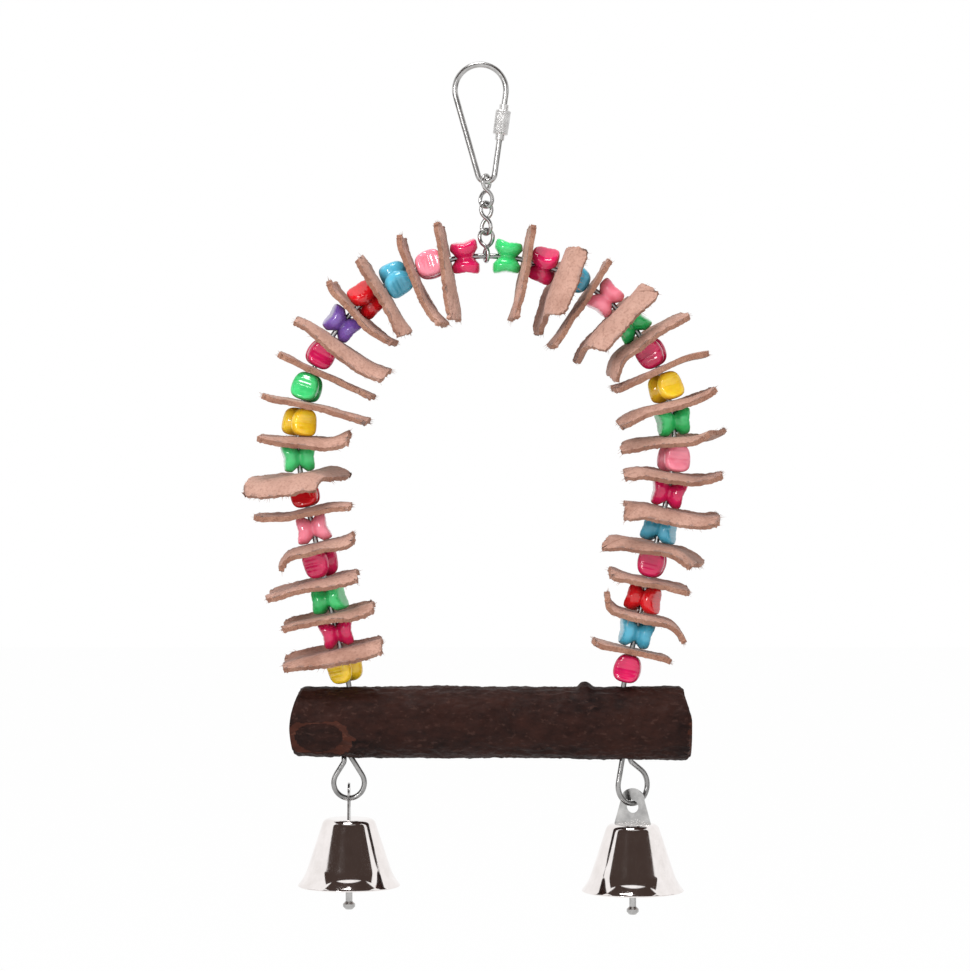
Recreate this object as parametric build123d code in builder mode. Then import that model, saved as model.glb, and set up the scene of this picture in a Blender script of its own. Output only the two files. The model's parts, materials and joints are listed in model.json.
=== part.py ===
from build123d import *
import os
from math import asin, cos, degrees, pi, radians, sin

# Bird swing: a bark-covered perch carried by a horseshoe of steel wire. The wire is threaded with
# butterfly beads and leather chips, hangs from a short twisted chain and a screw-lock quick link,
# and carries a cone bell with a clapper under each end of the perch.
# Frame: millimetres, X across the swing, Y away from the viewer, Z up. The origin is the hang point,
# the inside top of the quick link, where a cage bar bears.

# Quick link and its nut
quick_wire = 2.2
quick_top_radius = 9.6
quick_bottom_radius = 3.2
quick_centres = 31.2
quick_lean = 4.0
nut_length = 13.5
nut_diameter = 5.7
nut_collar_diameter = 3.5
nut_collar_length = 2.2
nut_start = 4.2
nut_flutes = 16
nut_flute_depth = 0.35
nut_clearance = 0.15
gate_gap = 2.0

# Chain
link_wire = 1.5
link_length = 13.4
link_width = 6.7
link_twist = 90.0
link_turns = (60.0, 40.0, 15.0)
link_play = 0.2
quick_play = 0.5

# Beads and chips threaded on the arch
bead_count = 15
bead_length = 10.2
bead_thickness = 8.6
bead_wide_span = 12.6
bead_narrow_span = 9.8
bead_waist_span = 9.4
bead_notch = 2.5
bead_corner = 1.4
bead_edge = 1.3
bead_bore = 3.2
bead_ribs = 4
bead_rib_pitch = 1.5
bead_rib_groove = 0.9
bead_rib_depth = 0.3
chip_thickness = 1.8
chip_flat = 7.2
chip_taper = 0.22
chip_hole_play = 0.25
stack_gap = 0.75
chain_half_gap = 3.0

# Arch wire and its eyes
arch_wire_diameter = 2.0
leg_tilt = 13.0
leg_length = 76.0
foot_radius = 8.0
neck_radius = 3.0
neck_rise = 2.7
eye_tail_gap = 1.3
left_eye_radius = 5.75
left_eye_neck = 32.0
left_eye_strand = 8.3
left_eye_return = 32.0
left_eye_turn = 180.0
right_eye_radius = 6.9
right_eye_neck = 12.0
right_eye_strand = 11.0
right_eye_return = 55.0
right_eye_turn = 35.0

# Perch
perch_diameter = 27.3
perch_length = 150.0
perch_shift = 1.6
perch_swell = (-0.5, 0.1, -0.2, 0.0, 0.15)
perch_bow = (0.5, 0.15, 0.3, -0.1, -0.25)
perch_play = 1.0
perch_hole_play = 0.3
perch_relief_diameter = 7.0
perch_relief_depth = 4.2
perch_end_slant = 9.0
perch_facet_length = 26.0
perch_facet_depth = 2.6

# Bells
bell_crown_diameter = 19.0
bell_rim_diameter = 37.6
bell_height = 24.8
bell_wall = 0.7
bell_shoulder = 1.8
bell_flare = 1.7
hanger_thickness = 0.8
hanger_base = 14.6
hanger_top_radius = 4.6
hanger_rise = 1.2
hanger_hole = 4.7
hanger_drop = 8.3
hanger_play = 0.2
tongue_width = 5.0
tongue_length = 6.7
tongue_hole = 2.6
tongue_hole_depth = 4.2
ear_reach = 2.4
ear_width = 1.6
slot_play = 0.15
left_hanger_turn = 90.0
right_hanger_turn = -20.0
clapper_rod = 2.6
clapper_head = 4.6
clapper_head_length = 3.0
clapper_below_rim = 8.6
clapper_ring_radius = 1.6
clapper_ring_wire = 1.0
clapper_play = 0.15

LEFT = -1
RIGHT = 1
UP = Vector(0, 0, 1)
ACROSS = Vector(1, 0, 0)
AWAY = Vector(0, 1, 0)

# Sizes that follow from the driving ones
quick_radius = quick_wire / 2
link_radius = link_wire / 2
arch_wire_radius = arch_wire_diameter / 2
quick_slope = asin((quick_top_radius - quick_bottom_radius) / quick_centres)
quick_leg = quick_centres * cos(quick_slope)
quick_across = Vector(cos(radians(quick_lean)), 0, sin(radians(quick_lean)))
quick_up = Vector(-sin(radians(quick_lean)), 0, cos(radians(quick_lean)))
quick_centre = -UP * (quick_top_radius - quick_radius)
quick_foot = quick_centre - quick_up * quick_centres - UP * quick_bottom_radius
chain_x = quick_foot.X

link_line = link_length - link_wire
link_bend = (link_width - link_wire) / 2
upper_link_z = quick_foot.Z + quick_radius + link_radius + quick_play - link_line / 2
link_step = link_line - link_wire - link_play
link_heights = [upper_link_z - number * link_step for number in range(len(link_turns))]
lower_link_bottom = link_heights[-1] - link_line / 2
arch_top = lower_link_bottom + link_radius + arch_wire_radius + link_play

stack_pitch = bead_length + chip_thickness + 2 * stack_gap
half_stack = chain_half_gap + bead_count * stack_pitch - chip_thickness - stack_gap
arch_turn = radians(90 + leg_tilt)
arch_radius = (half_stack - leg_length) / arch_turn
arch_centre = Vector(chain_x, 0, arch_top - arch_radius)


def station(side, run):
    """Point, downward direction and outward direction on the arch wire, a run away from its top."""
    turn = min(run / arch_radius, arch_turn)
    straight = max(run - arch_radius * arch_turn, 0)
    outward = Vector(side * sin(turn), 0, cos(turn))
    along = Vector(side * cos(turn), 0, -sin(turn))
    return arch_centre + outward * arch_radius + along * straight, along, outward


def bead_run(number):
    """Distance along the wire from the top of the arch to the middle of a bead."""
    return chain_half_gap + (number - 1) * stack_pitch + bead_length / 2


def chip_run(number):
    """Distance along the wire from the top of the arch to the middle of a chip."""
    return bead_run(number) + stack_pitch / 2


leg_foot = station(RIGHT, half_stack)[0]
foot_drop = foot_radius * sin(radians(leg_tilt))
hole_offset = leg_foot.X - chain_x - foot_radius * (1 - cos(radians(leg_tilt)))
perch_radius = perch_diameter / 2
perch_top = leg_foot.Z - perch_play
perch_z = perch_top - perch_radius
perch_bottom = perch_top - perch_diameter
neck_start = perch_bottom + neck_rise


def lay_route(start, heading, steps):
    """Draws a wire's centre line. A step is a straight length, or a bend: radius, degrees, towards."""
    here = Vector(start)
    way = Vector(heading)
    for step in steps:
        if isinstance(step, tuple):
            radius, turn, towards = step
            axis = way.cross(Vector(towards)).normalized()
            centre = here + axis.cross(way) * radius
            spoke = here - centre
            pivot = Axis((0, 0, 0), tuple(axis))
            end = centre + spoke.rotate(pivot, turn)
            ThreePointArc(here, centre + spoke.rotate(pivot, turn / 2), end)
            way = way.rotate(pivot, turn)
        else:
            end = here + way * step
            Line(here, end)
        here = end


def place(shape, label, seat):
    """Writes a copy of a repeated piece, set on its seat."""
    piece = shape.moved(seat.location)
    piece.label = label
    export_step(piece, f"parts/{label}.step")


def eye_steps(radius, neck, strand, back):
    """Reach and drop of an eye's foot from the start of its neck, and the length of its tail."""
    drop = neck_radius * sin(radians(neck)) + strand * cos(radians(neck))
    sidestep = neck_radius * (1 - cos(radians(neck))) + strand * sin(radians(neck))
    centre_across = radius * cos(radians(neck)) - sidestep
    centre_down = drop + radius * sin(radians(neck))
    tail_start_down = centre_down - radius * sin(radians(back))
    tail = (tail_start_down - neck_rise - eye_tail_gap) / cos(radians(back))
    return centre_across, centre_down + radius, tail


def turned(degrees_about_up):
    """Level direction at an angle from X."""
    return Vector(cos(radians(degrees_about_up)), sin(radians(degrees_about_up)), 0)


eyes = {
    LEFT: (left_eye_radius, left_eye_neck, left_eye_strand, left_eye_return, left_eye_turn),
    RIGHT: (right_eye_radius, right_eye_neck, right_eye_strand, right_eye_return, right_eye_turn),
}
eye_feet = {}
for side, (radius, neck, strand, back, turn) in eyes.items():
    centre_across, foot_down, tail = eye_steps(radius, neck, strand, back)
    stem = Vector(chain_x + side * hole_offset, 0, neck_start)
    eye_feet[side] = stem + turned(turn) * centre_across - UP * foot_down

os.makedirs("parts", exist_ok=True)

# Quick link: one bent wire, open at a gate that the nut closes
leg_down = -quick_up * cos(quick_slope) - quick_across * sin(quick_slope)
leg_top = (
    quick_centre
    + quick_across * (quick_top_radius * cos(quick_slope))
    - quick_up * (quick_top_radius * sin(quick_slope))
)
gate_run = nut_start + nut_length / 2
quick_turn = degrees(quick_slope)
with BuildPart() as quick_link:
    gate_top = leg_top + leg_down * (gate_run - gate_gap / 2)
    with BuildLine() as quick_route:
        lay_route(
            gate_top,
            -leg_down,
            [
                gate_run - gate_gap / 2,
                (quick_top_radius, 180 + 2 * quick_turn, -ACROSS),
                quick_leg,
                (quick_bottom_radius, 180 - 2 * quick_turn, ACROSS),
                quick_leg - gate_run - gate_gap / 2,
            ],
        )
    with BuildSketch(Plane(gate_top, z_dir=-leg_down)):
        Circle(quick_radius)
    sweep(path=quick_route.wires()[0])
quick_link.part.label = "quick_link"
export_step(quick_link.part, "parts/quick_link.step")

# Nut: fluted sleeve with plain collars, riding on the right leg
nut_foot = leg_top + leg_down * (nut_start + nut_length)
with BuildPart() as quick_link_nut:
    with BuildSketch(Plane(nut_foot, z_dir=-leg_down)):
        Circle(nut_collar_diameter / 2)
        Circle(quick_radius + nut_clearance, mode=Mode.SUBTRACT)
    extrude(amount=nut_length)
    with BuildSketch(Plane(nut_foot - leg_down * nut_collar_length, z_dir=-leg_down)):
        Circle(nut_diameter / 2)
        Circle(nut_collar_diameter / 2, mode=Mode.SUBTRACT)
        with PolarLocations(nut_diameter / 2, nut_flutes):
            Circle(nut_flute_depth, mode=Mode.SUBTRACT)
    extrude(amount=nut_length - 2 * nut_collar_length)
quick_link_nut.part.label = "quick_link_nut"
export_step(quick_link_nut.part, "parts/quick_link_nut.step")

# Chain: three links of one twisted form, the lower bend a quarter turn round from the upper one
twist_across = link_bend * 2 * sin(radians(link_twist) / 2)
twist_drop = link_line - 2 * link_bend
strand_radius = ((twist_drop / 2) ** 2 + (twist_across / 2) ** 2) / twist_across
strand_turn = degrees(asin(twist_drop / 2 / strand_radius))
with BuildPart() as chain_link:
    for start_turn in (0, 180):
        outward = turned(start_turn)
        lower_outward = turned(start_turn + link_twist)
        sideways = lower_outward - outward
        with BuildLine() as link_route:
            lay_route(
                UP * (link_line / 2),
                outward,
                [
                    (link_bend, 90, -UP),
                    (strand_radius, strand_turn, sideways),
                    (strand_radius, strand_turn, -UP),
                    (link_bend, 90, -lower_outward),
                ],
            )
        with BuildSketch(Plane(UP * (link_line / 2), z_dir=outward)):
            Circle(link_radius)
        sweep(path=link_route.wires()[0])
link_names = ("upper_chain_link", "middle_chain_link", "lower_chain_link")
for label, height, turn in zip(link_names, link_heights, link_turns):
    place(chain_link.part, label, Plane((chain_x, 0, height), x_dir=turned(turn), z_dir=UP))

# Arch wire: horseshoe, straight legs through the perch, and an eye bent up below each leg
arch_peak = Vector(chain_x, 0, arch_top)
route_length = 0
with BuildPart() as arch_wire:
    for side, (radius, neck, strand, back, turn) in eyes.items():
        tail = eye_steps(radius, neck, strand, back)[2]
        with BuildLine() as arch_route:
            lay_route(
                arch_peak,
                ACROSS * side,
                [
                    (arch_radius, 90 + leg_tilt, -UP),
                    leg_length,
                    (foot_radius, leg_tilt, ACROSS * side),
                    leg_foot.Z - foot_drop - neck_start,
                    (neck_radius, neck, -turned(turn)),
                    strand,
                    (radius, 180 + neck + back, turned(turn)),
                    tail,
                ],
            )
        route_length += arch_route.wires()[0].length
        with BuildSketch(Plane(arch_peak, z_dir=ACROSS * side)):
            Circle(arch_wire_radius)
        sweep(path=arch_route.wires()[0])
arch_wire.part.label = "arch_wire"
export_step(arch_wire.part, "parts/arch_wire.step")
wire_volume = pi * arch_wire_radius**2 * route_length
print(f"arch wire volume {arch_wire.part.volume:.1f}, section times length {wire_volume:.1f}")

# Perch: a slightly crooked branch, slanted at its left end, whittled flat there, drilled for the legs
perch_middle = chain_x + perch_shift
perch_left = perch_middle - perch_length / 2
with BuildPart() as perch:
    for number, (swell, bow) in enumerate(zip(perch_swell, perch_bow)):
        x = perch_left + perch_length * number / (len(perch_swell) - 1)
        with BuildSketch(Plane((x, 0, perch_z + bow), x_dir=AWAY, z_dir=ACROSS)):
            Circle(perch_radius + swell)
    loft()
    slant = Vector(cos(radians(perch_end_slant)), 0, -sin(radians(perch_end_slant)))
    split(bisect_by=Plane((perch_left, 0, perch_z - perch_radius / 2), z_dir=slant), keep=Keep.TOP)
    facet_slope = asin(perch_facet_depth / perch_facet_length)
    facet_side = Vector(0, -1, -1).normalized()
    facet_face = facet_side * cos(facet_slope) - ACROSS * sin(facet_slope)
    facet_seat = Vector(perch_left + perch_facet_length, 0, perch_z) + facet_side * perch_radius
    split(bisect_by=Plane(facet_seat, z_dir=facet_face), keep=Keep.BOTTOM)
    for side in (LEFT, RIGHT):
        stem_x = chain_x + side * hole_offset
        with Locations((stem_x, 0, perch_z)):
            Cylinder(arch_wire_radius + perch_hole_play, 2 * perch_diameter, mode=Mode.SUBTRACT)
        with Locations((stem_x, 0, perch_bottom)):
            Cylinder(perch_relief_diameter / 2, 2 * perch_relief_depth, mode=Mode.SUBTRACT)
perch.part.label = "perch"
export_step(perch.part, "parts/perch.step")

# Bead: butterfly outline with a notch at each end of its bore, soft edges and ribbed wing edges
half_bead = bead_length / 2
wide_tip = Vector(bead_wide_span / 2, half_bead - bead_corner)
narrow_tip = Vector(bead_narrow_span / 2, bead_corner - half_bead)
waist = Vector(bead_waist_span / 2, 0)
right_wing = [
    (0, half_bead - bead_notch),
    (bead_wide_span / 4, half_bead),
    (wide_tip.X, wide_tip.Y),
    (waist.X, waist.Y),
    (narrow_tip.X, narrow_tip.Y),
    (bead_narrow_span / 4, -half_bead),
    (0, bead_notch - half_bead),
]
left_wing = [(-x, y) for x, y in reversed(right_wing[1:-1])]


def wing_edge(height):
    """Half span of the bead at a height, along the straight edges of its wings."""
    tip = wide_tip if height > 0 else narrow_tip
    return waist.X + (tip.X - waist.X) * height / tip.Y


with BuildPart() as bead:
    with BuildSketch(Plane.XZ):
        Polygon(*right_wing, *left_wing, align=None)
        fillet(vertices(), radius=bead_corner)
    extrude(amount=bead_thickness / 2, both=True)
    fillet(faces().filter_by(Axis.Y).edges(), radius=bead_edge)
    groove_radius = bead_rib_groove / 2
    for number in range(bead_ribs):
        height = (number - (bead_ribs - 1) / 2) * bead_rib_pitch
        groove_x = wing_edge(height) + groove_radius - bead_rib_depth
        with Locations((groove_x, 0, height), (-groove_x, 0, height)):
            Cylinder(groove_radius, 2 * bead_thickness, rotation=(90, 0, 0), mode=Mode.SUBTRACT)
    Cylinder(bead_bore / 2, 2 * bead_length, mode=Mode.SUBTRACT)

# Turn of each bead about the wire, from wings facing the viewer, and which end its wide wings point to
bead_turns = {
    LEFT: (10, 85, 50, 140, 15, 80, 100, 55, 10, 95, 0, 60, 20, 5, 55),
    RIGHT: (0, 40, 85, 5, 10, 75, 60, 15, 70, 5, 25, 80, 30, 10, 95),
}
bead_wide_up = {
    LEFT: (1, 1, 0, 0, 1, 0, 0, 0, 1, 0, 0, 1, 0, 1, 1),
    RIGHT: (1, 0, 1, 1, 0, 1, 0, 1, 0, 1, 0, 1, 0, 1, 0),
}
side_names = {LEFT: "left", RIGHT: "right"}
for side in (LEFT, RIGHT):
    for number in range(1, bead_count + 1):
        point, along, outward = station(side, bead_run(number))
        axis = -along if bead_wide_up[side][number - 1] else along
        wings = outward.rotate(Axis((0, 0, 0), tuple(axis)), bead_turns[side][number - 1])
        place(bead.part, f"{side_names[side]}_bead_{number:02d}", Plane(point, x_dir=wings, z_dir=axis))

# Leather chips, from the top down. Each row: turn of the long side from outward to the viewer, reach and
# bend of that end, reach and bend of the other end, depth to either side. A plus bend curls up the wire.
chip_rows = {
    LEFT: [
        (0, 14, 4, 23, -4, 12, 12),
        (0, 14, 18, 24, 24, 11, 13),
        (0, 13, -6, 20, -5, 14, 11),
        (0, 14, 10, 20, 22, 10, 13),
        (0, 14, -16, 26, 16, 14, 11),
        (0, 14, 3, 25, -3, 11, 13),
        (0, 15, 5, 26, -5, 12, 12),
        (0, 15, 12, 20, 24, 14, 11),
        (70, 20, -48, 14, 6, 15, 18),
        (0, 20, 22, 16, -14, 13, 11),
        (0, 17, -75, 15, 24, 12, 10),
        (0, 22, -10, 13, 10, 13, 12),
        (0, 19, -8, 16, 10, 11, 13),
        (0, 22, -4, 16, 6, 14, 12),
    ],
    RIGHT: [
        (0, 13, 12, 23, 4, 11, 11),
        (80, 15, -36, 14, 30, 17, 11),
        (0, 12, 4, 27, 5, 11, 12),
        (80, 14, -38, 13, 22, 21, 16),
        (0, 19, -24, 19, -50, 12, 13),
        (0, 19, -14, 19, 8, 12, 12),
        (0, 18, 22, 21, -24, 13, 11),
        (20, 17, 26, 17, -14, 12, 14),
        (0, 19, 24, 18, -20, 12, 12),
        (0, 21, 18, 15, -12, 14, 12),
        (15, 18, -36, 17, -16, 14, 11),
        (0, 16, -12, 15, 12, 12, 12),
        (0, 20, -55, 17, 70, 11, 12),
        (0, 15, -12, 15, 12, 10, 10),
    ],
}


def leather_chip(side, number):
    """One chip: a bent strip of leather, trimmed to an uneven four-sided outline and punched."""
    turn, reach, bend, back_reach, back_bend, near_depth, far_depth = chip_rows[side][number - 1]
    point, along, outward = station(side, chip_run(number))
    up_wire = -along
    long_way = outward * cos(radians(turn)) - AWAY * sin(radians(turn))
    depth_way = -outward * sin(radians(turn)) - AWAY * cos(radians(turn))
    trim_plane = Plane(point, x_dir=long_way, z_dir=long_way.cross(depth_way))
    with BuildPart() as chip:
        with BuildSketch(Plane(point, x_dir=long_way, z_dir=long_way.cross(up_wire))):
            with BuildLine():
                Line((-chip_flat, 0), (chip_flat, 0))
                curl = (reach - chip_flat) / radians(abs(bend))
                JernArc((chip_flat, 0), (1, 0), curl, bend)
                back_curl = (back_reach - chip_flat) / radians(abs(back_bend))
                JernArc((-chip_flat, 0), (-1, 0), back_curl, -back_bend)
            trace(line_width=chip_thickness)
        extrude(amount=near_depth + far_depth, both=True)
        with BuildSketch(trim_plane):
            Polygon(
                (reach, near_depth * (1 - chip_taper)),
                (-back_reach, near_depth),
                (-back_reach, -far_depth * (1 - chip_taper)),
                (reach, -far_depth),
                align=None,
            )
        extrude(amount=reach + back_reach, both=True, mode=Mode.INTERSECT)
        with BuildSketch(Plane(point, z_dir=along)):
            Circle(arch_wire_radius + chip_hole_play)
        extrude(amount=2 * chip_thickness, both=True, mode=Mode.SUBTRACT)
    return chip.part.solid()


for number in range(1, bead_count):
    chip_pair = Compound([leather_chip(LEFT, number), leather_chip(RIGHT, number)])
    chip_pair.label = f"leather_chips_{number:02d}"
    export_step(chip_pair, f"parts/{chip_pair.label}.step")

# Bell, with its hanger and clapper, about the middle of the eye wire that carries it
hole_drop = hanger_hole / 2 - arch_wire_radius - hanger_play
crown_z = -hanger_drop
rim_z = crown_z - bell_height
crown_radius = bell_crown_diameter / 2 - bell_wall / 2
rim_radius = bell_rim_diameter / 2 - bell_wall / 2
shell_top = crown_z - bell_wall / 2
wall_start = (crown_radius, shell_top - bell_shoulder)
wall_middle = ((crown_radius + rim_radius) / 2 - bell_flare, (wall_start[1] + rim_z) / 2)
with BuildPart() as bell:
    with BuildSketch(Plane.XZ):
        with BuildLine():
            Line((0, shell_top), (crown_radius - bell_shoulder, shell_top))
            RadiusArc((crown_radius - bell_shoulder, shell_top), wall_start, bell_shoulder)
            ThreePointArc(wall_start, wall_middle, (rim_radius, rim_z))
        trace(line_width=bell_wall)
    revolve(axis=Axis.Z)
    with Locations((0, 0, shell_top)):
        Box(tongue_width + 2 * slot_play, hanger_thickness + 2 * slot_play, 3 * bell_wall, mode=Mode.SUBTRACT)

tongue_hole_z = crown_z - tongue_hole_depth
with BuildPart() as hanger:
    with BuildSketch(Plane.XZ):
        with Locations((0, hanger_rise)):
            Circle(hanger_top_radius)
        Polygon(
            (-hanger_base / 2, crown_z),
            (hanger_base / 2, crown_z),
            (hanger_top_radius, hanger_rise),
            (-hanger_top_radius, hanger_rise),
            align=None,
        )
        with Locations((0, crown_z - tongue_length / 2)):
            Rectangle(tongue_width, tongue_length)
        with Locations((0, -hole_drop)):
            Circle(hanger_hole / 2, mode=Mode.SUBTRACT)
        with Locations((0, tongue_hole_z)):
            Circle(tongue_hole / 2, mode=Mode.SUBTRACT)
    extrude(amount=hanger_thickness / 2, both=True)
    ear_x = (tongue_width - ear_width) / 2
    ear_z = crown_z - bell_wall - slot_play - hanger_thickness / 2
    with Locations((ear_x, ear_reach / 2, ear_z), (-ear_x, -ear_reach / 2, ear_z)):
        Box(ear_width, ear_reach, hanger_thickness)

ring_radius = clapper_ring_wire / 2
clapper_z = tongue_hole_z - tongue_hole / 2 + ring_radius + clapper_play
ring_z = clapper_z - clapper_ring_radius
rod_top = ring_z - clapper_ring_radius
clapper_end = rim_z - clapper_below_rim
head_top = clapper_end + clapper_head_length
head_bevel = (clapper_head - clapper_rod) / 2
with BuildPart() as clapper:
    with BuildSketch(Plane.XZ):
        with BuildLine():
            Polyline(
                (0, rod_top),
                (clapper_rod / 2, rod_top - ring_radius),
                (clapper_rod / 2, head_top),
                (clapper_head / 2, head_top - head_bevel),
                (clapper_head / 2, clapper_end + head_bevel),
                (clapper_rod / 2, clapper_end),
                (0, clapper_end),
                close=True,
            )
        make_face()
    revolve(axis=Axis.Z)
    with Locations((0, 0, ring_z)):
        Torus(clapper_ring_radius, ring_radius, rotation=(0, 90, 0))

hanger_turns = {LEFT: left_hanger_turn, RIGHT: right_hanger_turn}
for side in (LEFT, RIGHT):
    seat = Plane(eye_feet[side], x_dir=turned(hanger_turns[side]), z_dir=UP)
    place(bell.part, f"{side_names[side]}_bell", seat)
    place(hanger.part, f"{side_names[side]}_bell_hanger", seat)
    place(clapper.part, f"{side_names[side]}_bell_clapper", seat)
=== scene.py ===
import json
import random
from math import cos, exp, pi, radians, sin

import bmesh
import bpy
from mathutils import Matrix, Vector, noise

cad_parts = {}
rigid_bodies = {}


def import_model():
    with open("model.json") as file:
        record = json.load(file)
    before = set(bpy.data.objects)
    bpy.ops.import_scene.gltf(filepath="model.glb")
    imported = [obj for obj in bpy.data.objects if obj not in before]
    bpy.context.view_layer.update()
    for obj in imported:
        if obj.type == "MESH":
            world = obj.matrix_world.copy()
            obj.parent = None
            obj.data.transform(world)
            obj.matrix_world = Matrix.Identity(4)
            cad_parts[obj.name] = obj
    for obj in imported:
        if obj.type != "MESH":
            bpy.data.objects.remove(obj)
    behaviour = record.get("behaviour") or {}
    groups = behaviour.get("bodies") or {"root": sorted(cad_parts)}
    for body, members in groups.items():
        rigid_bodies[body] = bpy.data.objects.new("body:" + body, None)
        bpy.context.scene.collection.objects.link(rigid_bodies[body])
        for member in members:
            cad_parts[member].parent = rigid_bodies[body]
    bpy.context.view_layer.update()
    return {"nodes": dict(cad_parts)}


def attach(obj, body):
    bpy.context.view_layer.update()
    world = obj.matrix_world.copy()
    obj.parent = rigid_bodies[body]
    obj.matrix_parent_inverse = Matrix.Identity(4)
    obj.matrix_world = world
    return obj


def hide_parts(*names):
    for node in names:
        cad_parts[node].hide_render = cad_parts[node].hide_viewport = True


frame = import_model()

# Bird swing: beads, leather chips and a bark perch on a wire arch, with two bells, hung from a quick link.
# Metres, in the frame of the solids: X across the swing, Y away from the viewer, Z up, hang point at zero.
MM = 0.001
LEFT = -1
RIGHT = 1
SIDE_NAMES = {LEFT: "left", RIGHT: "right"}
UP = Vector((0, 0, 1))
AWAY = Vector((0, 1, 0))
SEAM = 1e-7
SPUN_SEAM = 1e-6

# The arch that the beads and chips are threaded on
arch_centre = Vector((2.1764, 0, -141.4424)) * MM
arch_radius = 70.6184 * MM
arch_turn = radians(103)
stack_pitch = 13.5 * MM
first_bead_run = 8.1 * MM
bead_count = 15

# Beads
bead_length = 10.6 * MM
bead_thickness = 10.4 * MM
bead_wide_span = 15.0 * MM
bead_narrow_span = 12.2 * MM
bead_waist_span = 11.0 * MM
bead_bore_radius = 1.6 * MM
bead_notch = 2.3 * MM
bead_notch_reach = 3.0 * MM
bead_valley = 0.36
bead_valley_width = 1.5 * MM
bead_rib_pitch = 1.7 * MM
bead_rib_depth = 0.08 * MM
bead_corner_power = 5.5
bead_dome_power = 2.8
bead_narrow_thinning = 0.14
bead_wing_power = 1.3
bead_ribbed_sides = (0.72, 0.95)
bead_rib_ends = (0.6, 0.9)
bead_cuts = 35
bead_sharp_angle = radians(40)

# Leather
leather_thickness = 2.0 * MM
leather_flat = 7.2 * MM
leather_flat_depth = 6.4 * MM
leather_taper = 0.22
leather_hole_radius = 1.2 * MM
leather_rings = 11
leather_outline = 230
leather_nap = 0.5 * MM
leather_nap_size = 1.4 * MM
leather_ripple = 1.1 * MM
leather_ripple_scale = 90
knife_scale = 260
knife_bow = 0.9 * MM
knife_bow_scale = 0.3
knife_fray = 0.45 * MM
knife_fray_scale = 3.2
knife_corner = 0.9 * MM
knife_corner_share = 0.1
knife_edge_width = 0.28 * MM
fibre_count = 120
fibre_radius = 0.1 * MM
fibre_length = 1.5 * MM
fibre_lean = 0.5
fibre_level = 0.42
fibre_root = 0.985

# Perch
perch_left = -71.2236 * MM
perch_length = 150.0 * MM
perch_radius = 13.65 * MM
perch_z = -246.03 * MM
perch_swell = [-0.5 * MM, 0.1 * MM, -0.2 * MM, 0.0, 0.15 * MM]
perch_bow = [0.5 * MM, 0.15 * MM, 0.3 * MM, -0.1 * MM, -0.25 * MM]
facet_length = 26.0 * MM
facet_depth = 2.6 * MM
facet_below_level = radians(27)
facet_ripple = 0.15 * MM
facet_line_wander = 1.6 * MM
knot_from_end = 11 * MM
knot_below_middle = 5.5 * MM
knot_half_length = 9 * MM
knot_half_height = 5.5 * MM
knot_groove = 0.4 * MM
knot_groove_width = 0.12
knot_bark_edge = -0.04
bark_scale = 110
bark_ring_scale = 2.2
bark_lumps = 0.5 * MM
bark_lump_scale = 0.35
bark_cracks = 0.8 * MM
bark_crack_scale = 1.6
bark_rough = 0.22 * MM
bark_rough_scale = 5
bark_fine = 0.1 * MM
bark_fine_scale = 13
bark_flake = 2.0 * MM
flake_rise = (0.72, 0.735)
flake_fall = (0.745, 0.77)
flake_top = (0.75, 1)
left_end_bulge = (0.2 * MM, 1.05 * MM, 2.35 * MM)
end_rounding = 0.9 * MM
end_rounding_length = 1.6 * MM
right_end_set_back = 2.6 * MM
torn_bark = 0.5 * MM
torn_width = 1.6 * MM
torn_spread = 2.4 * MM
branch_rows = 260
branch_columns = 200
leg_holes = (-49.331 * MM, 53.684 * MM)
leg_hole_radius = 1.3 * MM
leg_recess_radius = 3.5 * MM
leg_recess_depth = 4.2 * MM
perch_bottom = -259.68 * MM

# Tails of the eyes below the perch: end of each tail, and the way that it points
arch_wire_radius = 1.0 * MM
tail_ends = {
    LEFT: (Vector((-51.336, 0, -260.98)) * MM, Vector((0.5299, 0, 0.8480))),
    RIGHT: (Vector((56.822, 2.197, -260.98)) * MM, Vector((-0.6710, -0.4698, 0.5736))),
}
tail_bend_radius = 1.8 * MM
tail_rise = 2.4 * MM
tail_overlap = 0.3 * MM

# Bells, from the middle of the eye wire that carries each
eye_feet = {
    LEFT: Vector((-49.3529, 0, -274.4058)) * MM,
    RIGHT: Vector((57.2851, 2.5218, -276.6982)) * MM,
}
bell_crown_drop = 8.3 * MM
bell_height = 24.8 * MM
bell_crown_radius = 9.5 * MM
bell_rim_radius = 18.75 * MM
bell_wall = 0.7 * MM
bell_flare = 1.6 * MM
bell_flare_start = 0.72
bell_shoulder = 2.0 * MM
bell_shoulder_turn = radians(70)
bell_shoulder_steps = 8
bell_wall_steps = 30
bell_turns = 144
bell_lip = 0.2 * MM

# Nut of the quick link
nut_top = Vector((8.9376, 0, -13.9698)) * MM
nut_down = Vector((-0.136355, 0, -0.99066))
nut_length = 13.5 * MM
nut_radius = 2.85 * MM
nut_collar_radius = 1.75 * MM
nut_collar_length = 2.2 * MM
nut_bore_radius = 1.25 * MM
nut_knurl_depth = 0.16 * MM
nut_knurl_count = 22
nut_chamfer = 0.15 * MM
nut_grip_chamfer = 0.3 * MM
nut_grip_rows = 72
nut_turns = 176


def station(side, run):
    """Point, downward direction and outward direction on the arch wire, a run away from its top."""
    turn = min(run / arch_radius, arch_turn)
    straight = max(run - arch_radius * arch_turn, 0)
    outward = Vector((side * sin(turn), 0, cos(turn)))
    along = Vector((side * cos(turn), 0, -sin(turn)))
    return arch_centre + outward * arch_radius + along * straight, along, outward


def ease(low, high, value):
    """Smooth rise from 0 at low to 1 at high."""
    share = min(max((value - low) / (high - low), 0), 1)
    return share * share * (3 - 2 * share)


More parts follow.
